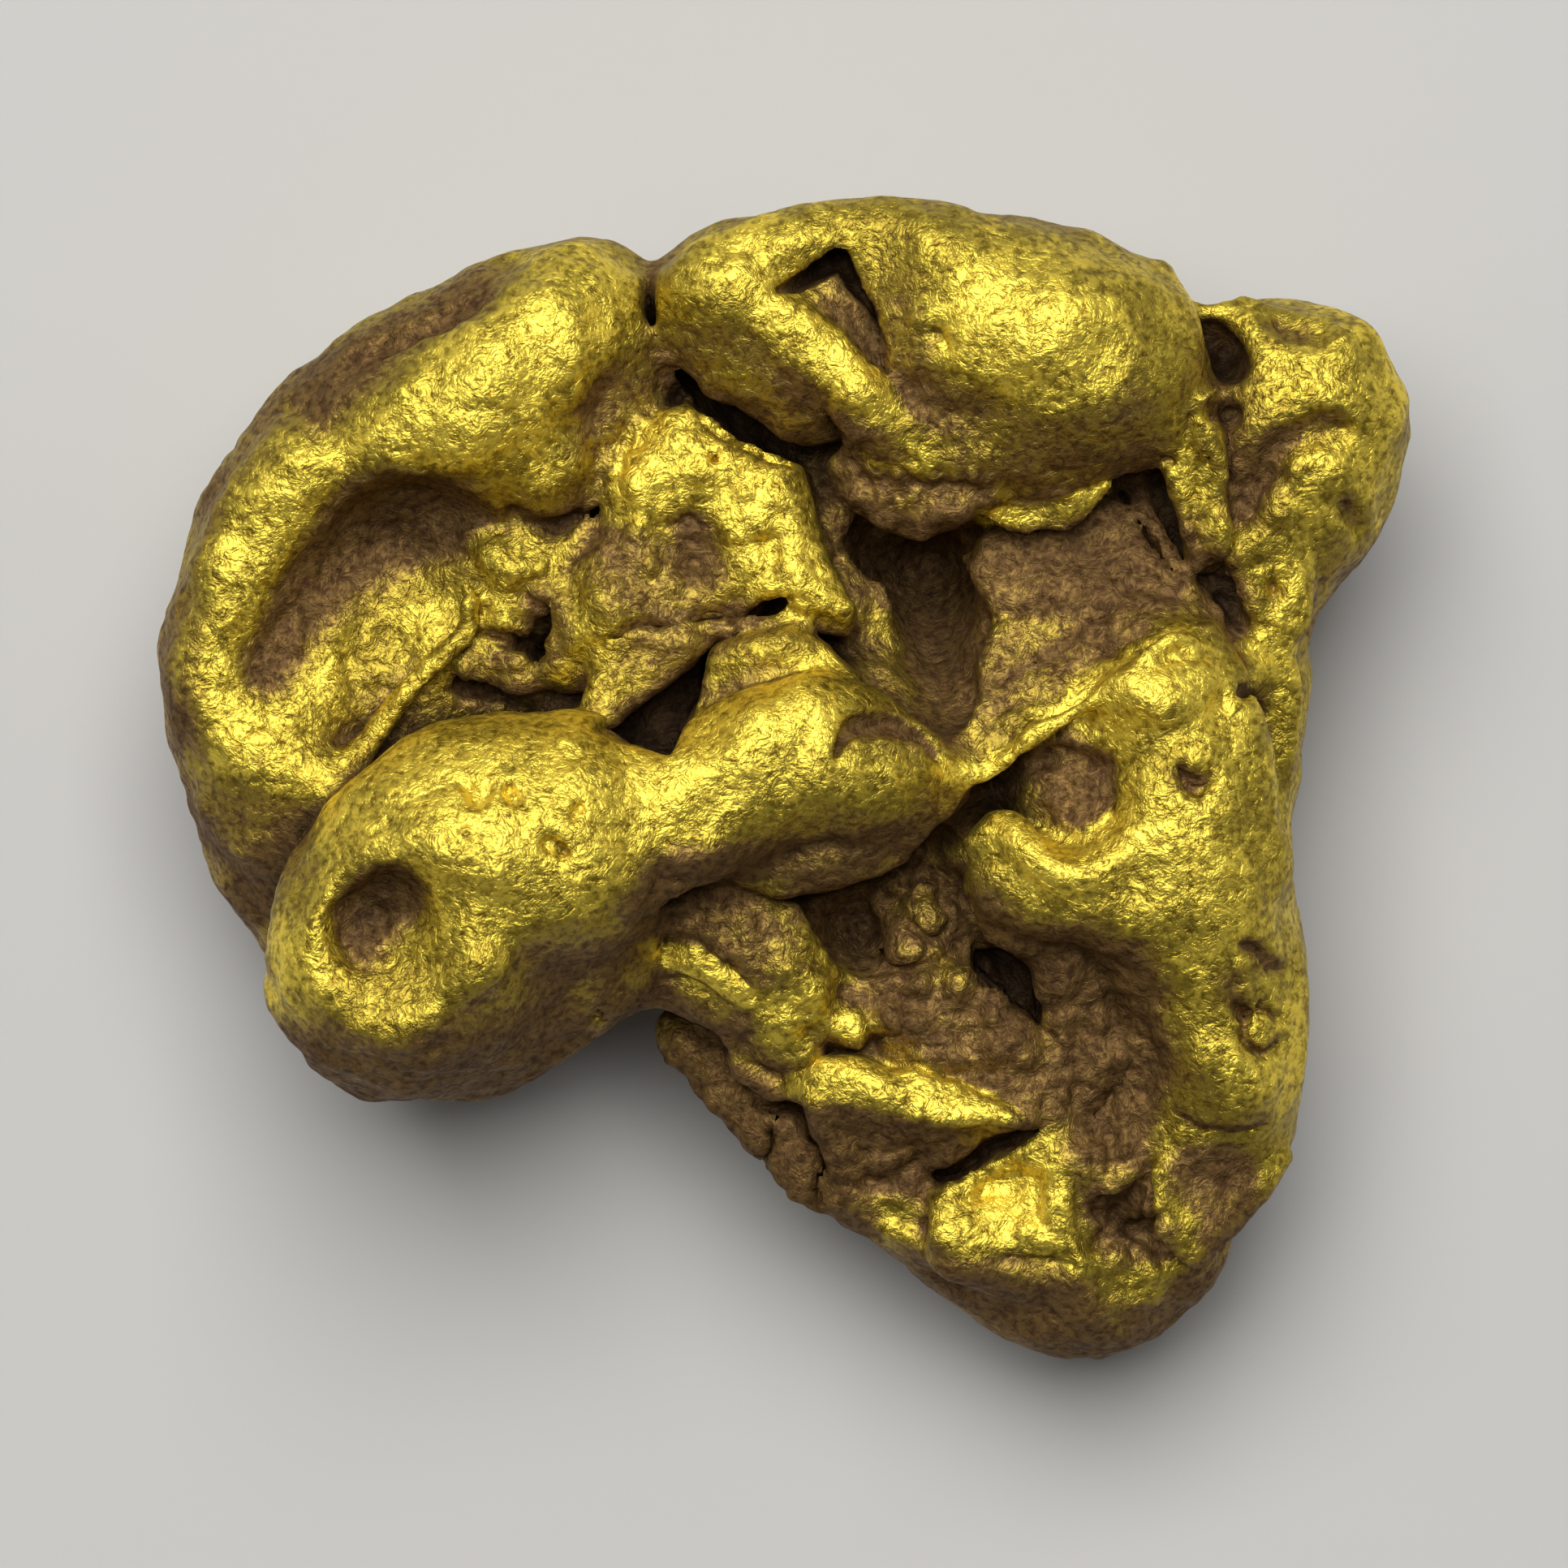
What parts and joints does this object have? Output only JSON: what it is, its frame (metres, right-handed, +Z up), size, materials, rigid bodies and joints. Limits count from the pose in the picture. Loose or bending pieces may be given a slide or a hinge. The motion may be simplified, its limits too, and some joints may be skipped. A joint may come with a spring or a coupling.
{
  "type": "gold nugget",
  "caption": "Water-worn native gold nugget: thick folds of metal hammered together round hollows and creases, with small worn flats underneath to rest on.",
  "frame": {"origin": "under the middle of the nugget's box, on the surface it rests on", "axes": "+X along the nugget's length, from the left lobe to the knob; +Y across it, towards the big top lobe; +Z up from the worn flats through its thickness"},
  "size_m": [0.018, 0.0166, 0.0082],
  "materials": {
    "native_gold": "water-worn native gold, polished on the high folds, brown iron film in the hollows"
  },
  "bodies": {
    "root": {"nugget": "native_gold"}
  },
  "joints": []
}
